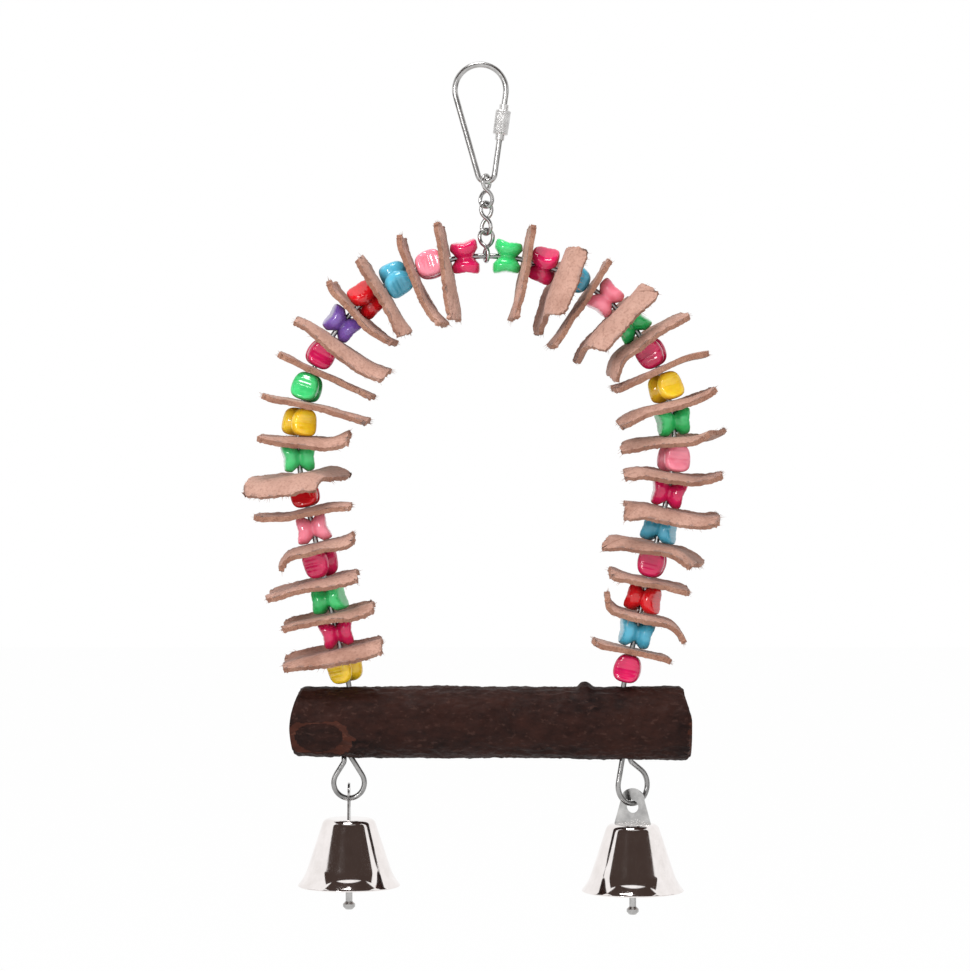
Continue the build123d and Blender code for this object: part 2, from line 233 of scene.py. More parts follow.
# Node groups for finishes that several materials share
def new_group(name, inputs, outputs):
    """Shader node group with named sockets, and its input and output nodes."""
    group = bpy.data.node_groups.new(name, "ShaderNodeTree")
    for label, kind in inputs:
        group.interface.new_socket(label, in_out="INPUT", socket_type=kind)
    for label, kind in outputs:
        group.interface.new_socket(label, in_out="OUTPUT", socket_type=kind)
    return group, group.nodes.new("NodeGroupInput"), group.nodes.new("NodeGroupOutput")


def add(tree, kind, values=None, **settings):
    """New node with its settings, and then values on its named sockets."""
    node = tree.nodes.new(kind)
    for name, value in settings.items():
        setattr(node, name, value)
    for name, value in (values or {}).items():
        node.inputs[name].default_value = value
    return node


# Places of the colour sockets among those of a Mix node
MIX_FIRST = 6
MIX_SECOND = 7
MIX_RESULT = 2


def colour_mix(tree, factor, first, second):
    """Mixes two colours by a factor socket. Each colour is a socket or a plain value."""
    mix = add(tree, "ShaderNodeMix", data_type="RGBA")
    tree.links.new(factor, mix.inputs[0])
    for place, colour in ((MIX_FIRST, first), (MIX_SECOND, second)):
        if isinstance(colour, tuple):
            mix.inputs[place].default_value = colour
        else:
            tree.links.new(colour, mix.inputs[place])
    return mix.outputs[MIX_RESULT]


FLOAT = "NodeSocketFloat"
VECTOR = "NodeSocketVector"
COLOUR = "NodeSocketColor"


def make_two_tone():
    """Cloudy change between two colours."""
    group, given, result = new_group(
        "two_tone",
        [("Vector", VECTOR), ("Scale", FLOAT), ("Detail", FLOAT), ("Dark", COLOUR), ("Light", COLOUR)],
        [("Color", COLOUR), ("Mask", FLOAT)],
    )
    clouds = add(group, "ShaderNodeTexNoise", {"Roughness": 0.62})
    spread = add(group, "ShaderNodeMapRange", {"From Min": 0.34, "From Max": 0.66})
    group.links.new(given.outputs["Vector"], clouds.inputs["Vector"])
    group.links.new(given.outputs["Scale"], clouds.inputs["Scale"])
    group.links.new(given.outputs["Detail"], clouds.inputs["Detail"])
    group.links.new(clouds.outputs["Fac"], spread.inputs["Value"])
    mixed = colour_mix(group, spread.outputs["Result"], given.outputs["Dark"], given.outputs["Light"])
    group.links.new(mixed, result.inputs["Color"])
    group.links.new(spread.outputs["Result"], result.inputs["Mask"])
    return group


def make_handling():
    """Uneven gloss and fine relief from handling, between a smooth and a rough value."""
    group, given, result = new_group(
        "handling",
        [("Vector", VECTOR), ("Scale", FLOAT), ("Smooth", FLOAT), ("Rough", FLOAT)],
        [("Roughness", FLOAT), ("Height", FLOAT)],
    )
    smears = add(group, "ShaderNodeTexNoise", {"Detail": 6.0, "Roughness": 0.7})
    spread = add(group, "ShaderNodeMapRange", {"From Min": 0.3, "From Max": 0.7})
    group.links.new(given.outputs["Vector"], smears.inputs["Vector"])
    group.links.new(given.outputs["Scale"], smears.inputs["Scale"])
    group.links.new(smears.outputs["Fac"], spread.inputs["Value"])
    group.links.new(given.outputs["Smooth"], spread.inputs["To Min"])
    group.links.new(given.outputs["Rough"], spread.inputs["To Max"])
    group.links.new(spread.outputs["Result"], result.inputs["Roughness"])
    group.links.new(smears.outputs["Fac"], result.inputs["Height"])
    return group


def make_hide_grain():
    """Pores and creases of hide, as relief and as a mask of the pores and creases, which leather_finish
    darkens as painted shade.
    """
    group, given, result = new_group(
        "hide_grain",
        [("Vector", VECTOR), ("Pores", FLOAT), ("Creases", FLOAT), ("Fibre", FLOAT)],
        [("Height", FLOAT), ("Mask", FLOAT)],
    )
    pores = add(group, "ShaderNodeTexVoronoi", feature="SMOOTH_F1")
    creases = add(group, "ShaderNodeTexNoise", {"Detail": 7.0, "Roughness": 0.68})
    blend = add(group, "ShaderNodeMix")
    # Low places of the relief map to 0, and leather_finish turns them into painted shade
    pore_shade_spread = add(group, "ShaderNodeMapRange", {"From Min": 0.12, "From Max": 0.42})
    group.links.new(given.outputs["Vector"], pores.inputs["Vector"])
    group.links.new(given.outputs["Vector"], creases.inputs["Vector"])
    group.links.new(given.outputs["Pores"], pores.inputs["Scale"])
    group.links.new(given.outputs["Creases"], creases.inputs["Scale"])
    group.links.new(given.outputs["Fibre"], blend.inputs["Factor"])
    group.links.new(pores.outputs["Distance"], blend.inputs["A"])
    group.links.new(creases.outputs["Fac"], blend.inputs["B"])
    group.links.new(blend.outputs["Result"], pore_shade_spread.inputs["Value"])
    group.links.new(blend.outputs["Result"], result.inputs["Height"])
    group.links.new(pore_shade_spread.outputs["Result"], result.inputs["Mask"])
    return group


two_tone = make_two_tone()
handling = make_handling()
hide_grain = make_hide_grain()


def place_group(tree, group, vector, values):
    """Instance of a shared group, fed with coordinates and this finish's own values."""
    node = add(tree, "ShaderNodeGroup", values, node_tree=group)
    tree.links.new(vector, node.inputs["Vector"])
    return node


def new_finish(name, stretch=(1, 1, 1)):
    """Material with its shader, and Object coordinates stretched along the grain."""
    material = bpy.data.materials.new(name)
    material.use_nodes = True
    tree = material.node_tree
    coordinates = add(tree, "ShaderNodeTexCoord")
    mapping = add(tree, "ShaderNodeMapping", {"Scale": stretch})
    tree.links.new(coordinates.outputs["Object"], mapping.inputs["Vector"])
    return material, tree, tree.nodes["Principled BSDF"], mapping.outputs["Vector"]


def raise_relief(tree, shader, height, depth, strength):
    """Feeds a height into the shader's normal."""
    bump = add(tree, "ShaderNodeBump", {"Strength": strength, "Distance": depth})
    tree.links.new(height, bump.inputs["Height"])
    tree.links.new(bump.outputs["Normal"], shader.inputs["Normal"])


def rgba(red, green, blue):
    """Opaque colour."""
    return (red, green, blue, 1.0)


def metal_finish(name, dark, light, smooth, rough, relief):
    """Plated or drawn metal with handling marks."""
    material, tree, shader, vector = new_finish(name)
    shader.inputs["Metallic"].default_value = 1.0
    clouds = {"Scale": 160.0, "Detail": 5.0, "Dark": dark, "Light": light}
    tone = place_group(tree, two_tone, vector, clouds)
    marks = place_group(tree, handling, vector, {"Scale": 420.0, "Smooth": smooth, "Rough": rough})
    tree.links.new(tone.outputs["Color"], shader.inputs["Base Color"])
    tree.links.new(marks.outputs["Roughness"], shader.inputs["Roughness"])
    raise_relief(tree, shader, marks.outputs["Height"], relief, 0.35)
    return material


def bead_plastic(name, deep, bright):
    """Glossy moulded plastic, slightly clouded and slightly translucent."""
    material, tree, shader, vector = new_finish(name)
    shader.inputs["IOR"].default_value = 1.5
    shader.inputs["Subsurface Weight"].default_value = 0.18
    shader.inputs["Subsurface Radius"].default_value = (1.0, 0.6, 0.5)
    shader.inputs["Subsurface Scale"].default_value = 1.5 * MM
    shader.inputs["Coat Weight"].default_value = 0.4
    shader.inputs["Coat Roughness"].default_value = 0.04
    clouds = {"Scale": 140.0, "Detail": 2.0, "Dark": deep, "Light": bright}
    tone = place_group(tree, two_tone, vector, clouds)
    marks = place_group(tree, handling, vector, {"Scale": 380.0, "Smooth": 0.07, "Rough": 0.2})
    tree.links.new(tone.outputs["Color"], shader.inputs["Base Color"])
    tree.links.new(marks.outputs["Roughness"], shader.inputs["Roughness"])
    raise_relief(tree, shader, marks.outputs["Height"], 0.02 * MM, 0.25)
    return material


def leather_finish(name, dark, light, pore_shade_and_fleck, tint, speck, speckled, pores, creases, fibre, depth):
    """Undyed leather: clouded, specked, with painted shade in its pores and creases, tinted chip by chip,
    with raised grain.
    """
    material, tree, shader, vector = new_finish(name)
    shader.inputs["Sheen Weight"].default_value = 0.12
    shader.inputs["Sheen Roughness"].default_value = 0.6
    shader.inputs["Specular IOR Level"].default_value = 0.3
    clouds = {"Scale": 110.0, "Detail": 6.0, "Dark": dark, "Light": light}
    tone = place_group(tree, two_tone, vector, clouds)
    grain = place_group(tree, hide_grain, vector, {"Pores": pores, "Creases": creases, "Fibre": fibre})
    hide_tone = add(tree, "ShaderNodeAttribute", attribute_name="hide_tone")
    specks = place_group(tree, two_tone, vector, {"Scale": speck, "Detail": 4.0})
    dark_specks = add(tree, "ShaderNodeMapRange", {"From Min": 0.5, "From Max": 1.0, "To Max": speckled})
    tree.links.new(specks.outputs["Mask"], dark_specks.inputs["Value"])
    # Painted shade: pores and creases, the low places of the relief, take the dark colour that the flecks
    # also use
    pore_shaded = colour_mix(tree, grain.outputs["Mask"], pore_shade_and_fleck, tone.outputs["Color"])
    toned = colour_mix(tree, hide_tone.outputs["Fac"], pore_shaded, tint)
    flecked = colour_mix(tree, dark_specks.outputs["Result"], toned, pore_shade_and_fleck)
    wear = place_group(tree, handling, vector, {"Scale": 260.0, "Smooth": 0.6, "Rough": 0.92})
    tree.links.new(flecked, shader.inputs["Base Color"])
    tree.links.new(wear.outputs["Roughness"], shader.inputs["Roughness"])
    raise_relief(tree, shader, grain.outputs["Height"], depth, 0.9)
    return material


def wood_finish(name, dark, light, patch, fleck, stretch, depth, smooth, rough):
    """Bark or bare wood: streaked along the branch, with patches of a second colour and flecks."""
    material, tree, shader, vector = new_finish(name, stretch)
    shader.inputs["Specular IOR Level"].default_value = 0.12
    fine_streaks = {"Scale": 330.0, "Detail": 9.0, "Dark": dark, "Light": light}
    streaks = place_group(tree, two_tone, vector, fine_streaks)
    patches = place_group(tree, two_tone, vector, {"Scale": 70.0, "Detail": 4.0})
    hold_back = add(tree, "ShaderNodeMath", operation="MULTIPLY")
    hold_back.inputs[1].default_value = 0.65
    tree.links.new(patches.outputs["Mask"], hold_back.inputs[0])
    patched = colour_mix(tree, hold_back.outputs["Value"], streaks.outputs["Color"], patch)
    flecks = place_group(tree, two_tone, vector, {"Scale": 620.0, "Detail": 3.0})
    only_tips = add(tree, "ShaderNodeMapRange", {"From Min": 0.78, "From Max": 1.0, "To Max": 0.3})
    tree.links.new(flecks.outputs["Mask"], only_tips.inputs["Value"])
    flecked = colour_mix(tree, only_tips.outputs["Result"], patched, fleck)
    grain = place_group(tree, hide_grain, vector, {"Pores": 420.0, "Creases": 260.0, "Fibre": 0.65})
    wear = place_group(tree, handling, vector, {"Scale": 200.0, "Smooth": smooth, "Rough": rough})
    tree.links.new(flecked, shader.inputs["Base Color"])
    tree.links.new(wear.outputs["Roughness"], shader.inputs["Roughness"])
    raise_relief(tree, shader, grain.outputs["Height"], depth, 1.0)
    return material


plated_steel = metal_finish(
    "plated_steel",
    dark=rgba(0.36, 0.355, 0.35),
    light=rgba(0.60, 0.59, 0.58),
    smooth=0.14,
    rough=0.3,
    relief=0.02 * MM,
)
drawn_wire = metal_finish(
    "drawn_wire",
    dark=rgba(0.24, 0.237, 0.233),
    light=rgba(0.44, 0.433, 0.427),
    smooth=0.2,
    rough=0.4,
    relief=0.03 * MM,
)
bell_nickel = metal_finish(
    "bell_nickel",
    dark=rgba(0.82, 0.77, 0.75),
    light=rgba(0.92, 0.87, 0.855),
    smooth=0.045,
    rough=0.085,
    relief=0.004 * MM,
)
knurled_steel = metal_finish(
    "knurled_steel",
    dark=rgba(0.66, 0.65, 0.64),
    light=rgba(0.86, 0.85, 0.84),
    smooth=0.25,
    rough=0.45,
    relief=0.03 * MM,
)
bead_finishes = {
    "hot_pink": bead_plastic("hot_pink_plastic", rgba(0.52, 0.006, 0.075), rgba(0.71, 0.011, 0.112)),
    "light_pink": bead_plastic("light_pink_plastic", rgba(0.84, 0.20, 0.28), rgba(0.95, 0.31, 0.40)),
    "green": bead_plastic("green_plastic", rgba(0.02, 0.47, 0.11), rgba(0.07, 0.69, 0.22)),
    "blue": bead_plastic("blue_plastic", rgba(0.05, 0.35, 0.50), rgba(0.10, 0.47, 0.65)),
    "red": bead_plastic("red_plastic", rgba(0.52, 0.003, 0.007), rgba(0.74, 0.008, 0.016)),
    "purple": bead_plastic("purple_plastic", rgba(0.11, 0.045, 0.26), rgba(0.19, 0.09, 0.40)),
    "yellow": bead_plastic("yellow_plastic", rgba(0.86, 0.50, 0.012), rgba(0.97, 0.68, 0.035)),
}
leather_face = leather_finish(
    "leather_face",
    dark=rgba(0.31, 0.155, 0.108),
    light=rgba(0.49, 0.28, 0.215),
    # Dark colour of the painted shade in pores and creases, and of the flecks
    pore_shade_and_fleck=rgba(0.21, 0.088, 0.058),
    tint=rgba(0.55, 0.335, 0.27),
    speck=1000.0,
    speckled=0.45,
    pores=900.0,
    creases=420.0,
    fibre=0.55,
    depth=0.25 * MM,
)
leather_back = leather_finish(
    "leather_back",
    dark=rgba(0.28, 0.145, 0.096),
    light=rgba(0.42, 0.24, 0.17),
    # Dark colour of the painted shade in pores and creases, and of the flecks
    pore_shade_and_fleck=rgba(0.18, 0.08, 0.05),
    tint=rgba(0.42, 0.24, 0.17),
    speck=1200.0,
    speckled=0.6,
    pores=1300.0,
    creases=900.0,
    fibre=0.75,
    depth=0.3 * MM,
)
leather_edge = leather_finish(
    "leather_edge",
    dark=rgba(0.25, 0.106, 0.066),
    light=rgba(0.47, 0.26, 0.18),
    pore_shade_and_fleck=rgba(0.23, 0.092, 0.055),
    # Dark colour of the painted shade in pores and creases, and of the flecks
    tint=rgba(0.34, 0.16, 0.104),
    speck=1700.0,
    speckled=0.8,
    pores=1500.0,
    creases=1100.0,
    fibre=0.8,
    depth=0.45 * MM,
)
bark = wood_finish(
    "bark",
    dark=rgba(0.0045, 0.0016, 0.0014),
    light=rgba(0.023, 0.0082, 0.0062),
    patch=rgba(0.036, 0.0115, 0.0075),
    fleck=rgba(0.085, 0.042, 0.033),
    stretch=(0.6, 1, 1),
    depth=0.9 * MM,
    smooth=0.4,
    rough=0.75,
)
whittled_wood = wood_finish(
    "whittled_wood",
    dark=rgba(0.015, 0.0045, 0.003),
    light=rgba(0.052, 0.0145, 0.0085),
    patch=rgba(0.085, 0.024, 0.0135),
    fleck=rgba(0.17, 0.065, 0.042),
    stretch=(0.3, 1, 1),
    depth=0.35 * MM,
    smooth=0.35,
    rough=0.65,
)
end_grain = wood_finish(
    "end_grain",
    dark=rgba(0.05, 0.018, 0.011),
    light=rgba(0.20, 0.085, 0.055),
    patch=rgba(0.24, 0.10, 0.065),
    fleck=rgba(0.36, 0.21, 0.15),
    stretch=(1, 1, 1),
    depth=0.5 * MM,
    smooth=0.6,
    rough=0.9,
)

node_finishes = {
    "quick_link": plated_steel,
    "upper_chain_link": plated_steel,
    "middle_chain_link": plated_steel,
    "lower_chain_link": plated_steel,
    "arch_wire": drawn_wire,
    "left_bell_hanger": plated_steel,
    "right_bell_hanger": plated_steel,
    "left_bell_clapper": plated_steel,
    "right_bell_clapper": plated_steel,
}
for node_name, finish in node_finishes.items():
    mesh = frame["nodes"][node_name].data
    mesh.materials.clear()
    mesh.materials.append(finish)


def finish_piece(name, mesh, materials, body, slot, *nodes):
    """Object for a finished mesh: its materials, the body it rides on and the nodes it stands for."""
    piece = bpy.data.objects.new(name, mesh)
    bpy.context.scene.collection.objects.link(piece)
    for material in materials:
        mesh.materials.append(material)
    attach(piece, body)
    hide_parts(*nodes)
    return piece


def mesh_from(shape, name):
    """Turns a finished bmesh into a mesh."""
    mesh = bpy.data.meshes.new(name)
    shape.to_mesh(mesh)
    shape.free()
    return mesh


def drilled(mesh, cutters):
    """The mesh with holes: each cutter is a radius, and the two ends of its axis."""
    scene_objects = bpy.context.scene.collection.objects
    blank = bpy.data.objects.new("blank", mesh)
    scene_objects.link(blank)
    tools = []
    for radius, start, end in cutters:
        axis = end - start
        drill = bmesh.new()
        bmesh.ops.create_cone(
            drill, cap_ends=True, segments=40, radius1=radius, radius2=radius, depth=axis.length
        )
        turn = UP.rotation_difference(axis.normalized()).to_matrix().to_4x4()
        bmesh.ops.transform(drill, verts=drill.verts, matrix=Matrix.Translation((start + end) / 2) @ turn)
        tool = bpy.data.objects.new("drill", mesh_from(drill, "drill"))
        scene_objects.link(tool)
        cut = blank.modifiers.new("hole", "BOOLEAN")
        cut.object = tool
        cut.operation = "DIFFERENCE"
        cut.solver = "EXACT"
        tools.append(tool)
    depsgraph = bpy.context.evaluated_depsgraph_get()
    result = bpy.data.meshes.new_from_object(blank.evaluated_get(depsgraph))
    for tool in tools + [blank]:
        bpy.data.objects.remove(tool)
    return result


# Beads: two ribbed wings with a valley between them along the bore, and a notch at each end
def bead_form(corner):
    """Moves a point of a cube to the surface of the bead, bore along Z and wings along X."""
    dome_power, corner_power = bead_dome_power, bead_corner_power
    dome = (abs(corner.y) ** dome_power + abs(corner.z) ** dome_power) ** (1 / dome_power)
    size = (abs(corner.x) ** corner_power + dome**corner_power) ** (1 / corner_power)
    x, y, z = corner / size
    tip_span = bead_wide_span if z > 0 else bead_narrow_span
    half_span = (bead_waist_span + (tip_span - bead_waist_span) * abs(z) ** bead_wing_power) / 2
    across = x * half_span
    notch = bead_notch * max(0, 1 - abs(across) / bead_notch_reach)
    height = z * (bead_length / 2 - notch)
    valley = bead_valley * exp(-((across / bead_valley_width) ** 2))
    depth = y * bead_thickness / 2 * (1 - valley)
    depth *= 1 - bead_narrow_thinning * max(-z, 0)
    rib = 0.5 + 0.5 * cos(2 * pi * height / bead_rib_pitch)
    ribbed = ease(*bead_ribbed_sides, abs(x)) * (1 - ease(*bead_rib_ends, abs(z)))
    across -= (1 if x > 0 else -1) * bead_rib_depth * rib * ribbed
    return Vector((across, depth, height))


def mould_bead():
    """One bead about its own middle."""
    blank = bmesh.new()
    bmesh.ops.create_cube(blank, size=2)
    bmesh.ops.subdivide_edges(blank, edges=blank.edges[:], cuts=bead_cuts, use_grid_fill=True)
    for vert in blank.verts:
        vert.co = bead_form(vert.co)
    bmesh.ops.recalc_face_normals(blank, faces=blank.faces[:])
    bore_end = UP * bead_length
    mesh = drilled(mesh_from(blank, "bead_blank"), [(bead_bore_radius, -bore_end, bore_end)])
    mesh.shade_smooth()
    mesh.set_sharp_from_angle(angle=bead_sharp_angle)
    return mesh


# Turn of each bead about the wire, from wings facing outward, and which end its wide wings point to
bead_turns = {
    LEFT: (10, 85, 50, 140, 15, 80, 100, 55, 10, 95, 0, 60, 20, 5, 55),
    RIGHT: (0, 40, 85, 5, 10, 75, 60, 15, 70, 5, 25, 80, 30, 10, 95),
}
bead_wide_up = {
    LEFT: (1, 1, 0, 0, 1, 0, 0, 0, 1, 0, 0, 1, 0, 1, 1),
    RIGHT: (1, 0, 1, 1, 0, 1, 0, 1, 0, 1, 0, 1, 0, 1, 0),
}
bead_colours = {
    LEFT: (
        "hot_pink", "light_pink", "blue", "red", "purple", "hot_pink", "green", "yellow",
        "green", "red", "light_pink", "hot_pink", "green", "hot_pink", "yellow",
    ),
    RIGHT: (
        "green", "hot_pink", "blue", "light_pink", "green", "hot_pink", "yellow", "green",
        "light_pink", "hot_pink", "blue", "hot_pink", "red", "blue", "hot_pink",
    ),
}
bead_mesh = mould_bead()
for side in (LEFT, RIGHT):
    for index in range(bead_count):
        point, along, outward = station(side, first_bead_run + index * stack_pitch)
        bore = -along if bead_wide_up[side][index] else along
        wings = Matrix.Rotation(radians(bead_turns[side][index]), 3, bore) @ outward
        seat = Matrix((wings, bore.cross(wings), bore)).transposed().to_4x4()
        mesh = bead_mesh.copy()
        mesh.transform(Matrix.Translation(point) @ seat)
        node = f"{SIDE_NAMES[side]}_bead_{index + 1:02d}"
        colour = bead_colours[side][index]
        name = f"{SIDE_NAMES[side]}_butterfly_{index + 1:02d}"
        finish_piece(name, mesh, [bead_finishes[colour]], node, f"{colour}_plastic", node)

# Leather chips, from the top down. Each row: turn of the long side from outward to the viewer, reach and
# bend of that end, reach and bend of the other end, depth to either side. A plus bend curls up the wire.
chip_rows = {
    LEFT: [
        (0, 14, 4, 23, -4, 15, 12),
        (0, 14, 18, 24, 24, 13, 13),
        (0, 13, -6, 20, -5, 16, 11),
        (0, 14, 22, 20, 22, 12, 13),
        (0, 14, -16, 26, 16, 17, 11),
        (0, 14, 3, 25, -3, 11, 13),
        (0, 15, 5, 26, -5, 12, 12),
        (0, 15, 12, 20, 24, 15, 11),
        (70, 20, -66, 14, 6, 16, 18),
        (0, 20, 22, 16, -14, 13, 11),
        (0, 17, -75, 15, 24, 15, 10),
        (0, 22, -10, 13, 10, 14, 12),
        (0, 19, -8, 16, 10, 13, 14),
        (0, 22, -4, 16, 6, 16, 13),
    ],
    RIGHT: [
        (0, 13, 12, 23, 4, 13, 11),
        (80, 20, -76, 14, 30, 24, 7.5),
        (0, 12, 4, 27, 5, 12, 12),
        (80, 19, -72, 13, 22, 24, 12),
        (0, 19, -24, 19, -50, 15, 13),
        (0, 19, -14, 19, 8, 12, 12),
        (0, 18, 22, 21, -24, 14, 11),
        (20, 17, 26, 17, -14, 15, 14),
        (0, 19, 34, 18, -20, 14, 12),
        (0, 21, 18, 15, -12, 17, 12),
        (15, 18, -36, 17, -16, 16, 11),
        (0, 16, -12, 15, 12, 13, 12),
        (0, 20, -55, 17, 85, 12, 12),
        (0, 15, -12, 15, 12, 10, 10),
    ],
}

# Dip of each chip's near edge and of its far edge, in degrees. Plus is up the wire.
chip_dips = {
    LEFT: [
        (-58, 20), (-45, 25), (-66, 20), (-40, 30), (-74, 25), (-34, 12), (-38, 15),
        (-55, 20), (-50, 25), (-40, 20), (-58, 30), (-55, 30), (-50, 46), (-66, 50),
    ],
    RIGHT: [
        (-48, 20), (-20, 12), (-42, 18), (-16, 10), (-62, 25), (-34, 14), (-46, 25),
        (-58, 30), (-50, 35), (-72, 35), (-64, 30), (-44, 25), (-42, 25), (-20, 14),
    ],
}


# Chips get their own stretch of the noise: this far apart, and the right row this many after the left
seed_step = 0.01
seed_row = 20

# Material slots of a chip, after its face
BACK = 1
CUT = 2


def curl(distance, flat, reach, bend):
    """Run and rise of a strip that lies flat near its hole, then bends evenly to its end."""
    if distance <= flat:
        return distance, 0.0
    radius = (reach - flat) / radians(abs(bend))
    turn = (distance - flat) / radius
    return flat + radius * sin(turn), (1 if bend > 0 else -1) * radius * (1 - cos(turn))


def frayed_point(corners, share, seed):
    """Point of the chip's outline at a share of the way round, with a ragged knife line."""
    leg, part = divmod(share * 4, 1)
    start = Vector(corners[int(leg) % 4])
    end = Vector(corners[(int(leg) + 1) % 4])
    line = start.lerp(end, part)
    square = Vector((end.y - start.y, start.x - end.x)).normalized()
    spot = Vector((line.x, line.y, seed * seed_step)) * knife_scale
    bow = noise.noise(spot * knife_bow_scale) * knife_bow
    fray = noise.noise(spot * knife_fray_scale) * knife_fray
    corner = knife_corner * (1 - ease(0, knife_corner_share, min(part, 1 - part)))
    return line + square * (bow + fray - corner)


def chip_layout(side, index):
    """Corners of a chip's flat cut, and a function that lays a point of the cut on the bent chip."""
    turn, reach, bend, back_reach, back_bend, near_depth, far_depth = chip_rows[side][index]
    near_dip, far_dip = chip_dips[side][index]
    reach, back_reach = reach * MM, back_reach * MM
    near_depth, far_depth = near_depth * MM, far_depth * MM
    point, along, outward = station(side, first_bead_run + (index + 0.5) * stack_pitch)
    long_way = outward * cos(radians(turn)) - AWAY * sin(radians(turn))
    depth_way = -outward * sin(radians(turn)) - AWAY * cos(radians(turn))
    seed = index + seed_row * (side + 1)
    corners = [
        (reach, near_depth * (1 - leather_taper)),
        (-back_reach, near_depth),
        (-back_reach, -far_depth * (1 - leather_taper)),
        (reach, -far_depth),
    ]

    def lay(spot):
        over = ease(leather_flat, 2 * leather_flat, spot.length)
        place = Vector((spot.x, spot.y, seed * seed_step)) * leather_ripple_scale
        ripple = noise.noise(place) * leather_ripple * over
        if spot.x > 0:
            run, rise = curl(spot.x, leather_flat, reach, bend)
        else:
            run, rise = curl(-spot.x, leather_flat, back_reach, back_bend)
            run = -run
        if spot.y > 0:
            depth, dip = curl(spot.y, leather_flat_depth, near_depth, near_dip)
        else:
            depth, dip = curl(-spot.y, leather_flat_depth, far_depth, far_dip)
            depth = -depth
        return point + long_way * run + depth_way * depth - along * (rise + dip + ripple)

    return corners, lay, along, seed


def cut_chip(side, index):
    """One chip as an open sheet about its punched hole, from the hole out to the knife line."""
    corners, lay, along, seed = chip_layout(side, index)
    hide = bmesh.new()
    tone = hide.verts.layers.float.new("hide_tone")
    loose = hide.verts.layers.deform.verify()
    tone_here = 0.25 + 0.45 * noise.noise(Vector((seed * 3.7, 1.3, 0.5)))
    bmesh.ops.create_grid(hide, x_segments=leather_rings, y_segments=leather_outline, size=1)
    for vert in hide.verts:
        ring = (vert.co.x + 1) / 2
        rim = frayed_point(corners, (vert.co.y + 1) / 2 % 1, seed)
        spot = (rim.normalized() * leather_hole_radius).lerp(rim, ring)
        vert.co = lay(spot)
        vert[tone] = tone_here
        vert[loose][0] = ease(leather_flat, 1.4 * leather_flat, spot.length)
    bmesh.ops.remove_doubles(hide, verts=hide.verts[:], dist=SEAM)
    bmesh.ops.recalc_face_normals(hide, faces=hide.faces[:])
    if sum((face.normal * face.calc_area() for face in hide.faces), Vector()).dot(along) > 0:
        bmesh.ops.reverse_faces(hide, faces=hide.faces[:])
    return hide


def add_fibres(fray, side, index):
    """Loose fibres that stand out of a chip's knife cut."""
    corners, lay, along, seed = chip_layout(side, index)
    draw = random.Random(seed)
    for _ in range(fibre_count):
        rim = frayed_point(corners, draw.random(), seed)
        level = along * leather_thickness * draw.uniform(-fibre_level, fibre_level)
        lean = Vector([draw.uniform(-fibre_lean, fibre_lean) for _ in range(2)])
        length = draw.uniform(0.5, 1.0) ** 3 * fibre_length
        root = lay(rim * fibre_root) + level
        tip = lay(rim + (rim.normalized() + lean) * length) + level * draw.uniform(0.6, 1.6)
        shaft = tip - root
        turn = UP.rotation_difference(shaft.normalized()).to_matrix().to_4x4()
        bmesh.ops.create_cone(
            fray,
            cap_ends=True,
            segments=3,
            radius1=fibre_radius,
            radius2=fibre_radius / 5,
            depth=shaft.length,
            matrix=Matrix.Translation((root + tip) / 2) @ turn,
        )


nap = bpy.data.textures.new("leather_nap", "CLOUDS")
nap.noise_scale = leather_nap_size
nap.noise_depth = 3


def finished_chips(index):
    """Both chips of a pair: thickness, knife edges, raised nap and loose fibres. Cuts are left flat."""
    pair = bpy.data.meshes.new(f"chips_{index + 1:02d}")
    both = bmesh.new()
    for side in (LEFT, RIGHT):
        hide = cut_chip(side, index)
        hide.to_mesh(pair)
        hide.free()
        both.from_mesh(pair)
    both.to_mesh(pair)
    both.free()
    for material in (leather_face, leather_back, leather_edge):
        pair.materials.append(material)
    pair.shade_smooth()
    blank = bpy.data.objects.new("blank", pair)
    bpy.context.scene.collection.objects.link(blank)
    blank.vertex_groups.new(name="loose")
    body = blank.modifiers.new("thickness", "SOLIDIFY")
    body.thickness = leather_thickness
    body.offset = 0
    body.material_offset = BACK
    body.material_offset_rim = CUT
    edges = blank.modifiers.new("knife_edges", "BEVEL")
    edges.width = knife_edge_width
    edges.segments = 2
    edges.limit_method = "ANGLE"
    edges.angle_limit = radians(50)
    raised = blank.modifiers.new("nap", "DISPLACE")
    raised.texture = nap
    raised.texture_coords = "LOCAL"
    raised.strength = leather_nap
    raised.vertex_group = "loose"
    depsgraph = bpy.context.evaluated_depsgraph_get()
    mesh = bpy.data.meshes.new_from_object(blank.evaluated_get(depsgraph))
    bpy.data.objects.remove(blank)
    fray = bmesh.new()
    for side in (LEFT, RIGHT):
        add_fibres(fray, side, index)
    for face in fray.faces:
        face.material_index = CUT
    hide = bmesh.new()
    hide.from_mesh(mesh)
    hide.from_mesh(mesh_from(fray, "fray"))
    for face in hide.faces:
        face.smooth = face.material_index != CUT
    hide.to_mesh(mesh)
    hide.free()
    return mesh


for index in range(bead_count - 1):
    node = f"leather_chips_{index + 1:02d}"
    finish_piece(f"cut_leather_{index + 1:02d}", finished_chips(index), [], "swing", "leather", node)


# Perch: a crooked branch with its bark on, whittled flat at the lower front of its left end
def along_table(table, share):
    """Value of a table of sizes at a share of the way along the perch."""
    place = share * (len(table) - 1)
    first = min(int(place), len(table) - 2)
    return table[first] + (table[first + 1] - table[first]) * (place - first)


# Material slots of the perch, after its bark
WHITTLED = 1
SAWN = 2
facet_side = Vector((0, -cos(facet_below_level), -sin(facet_below_level)))


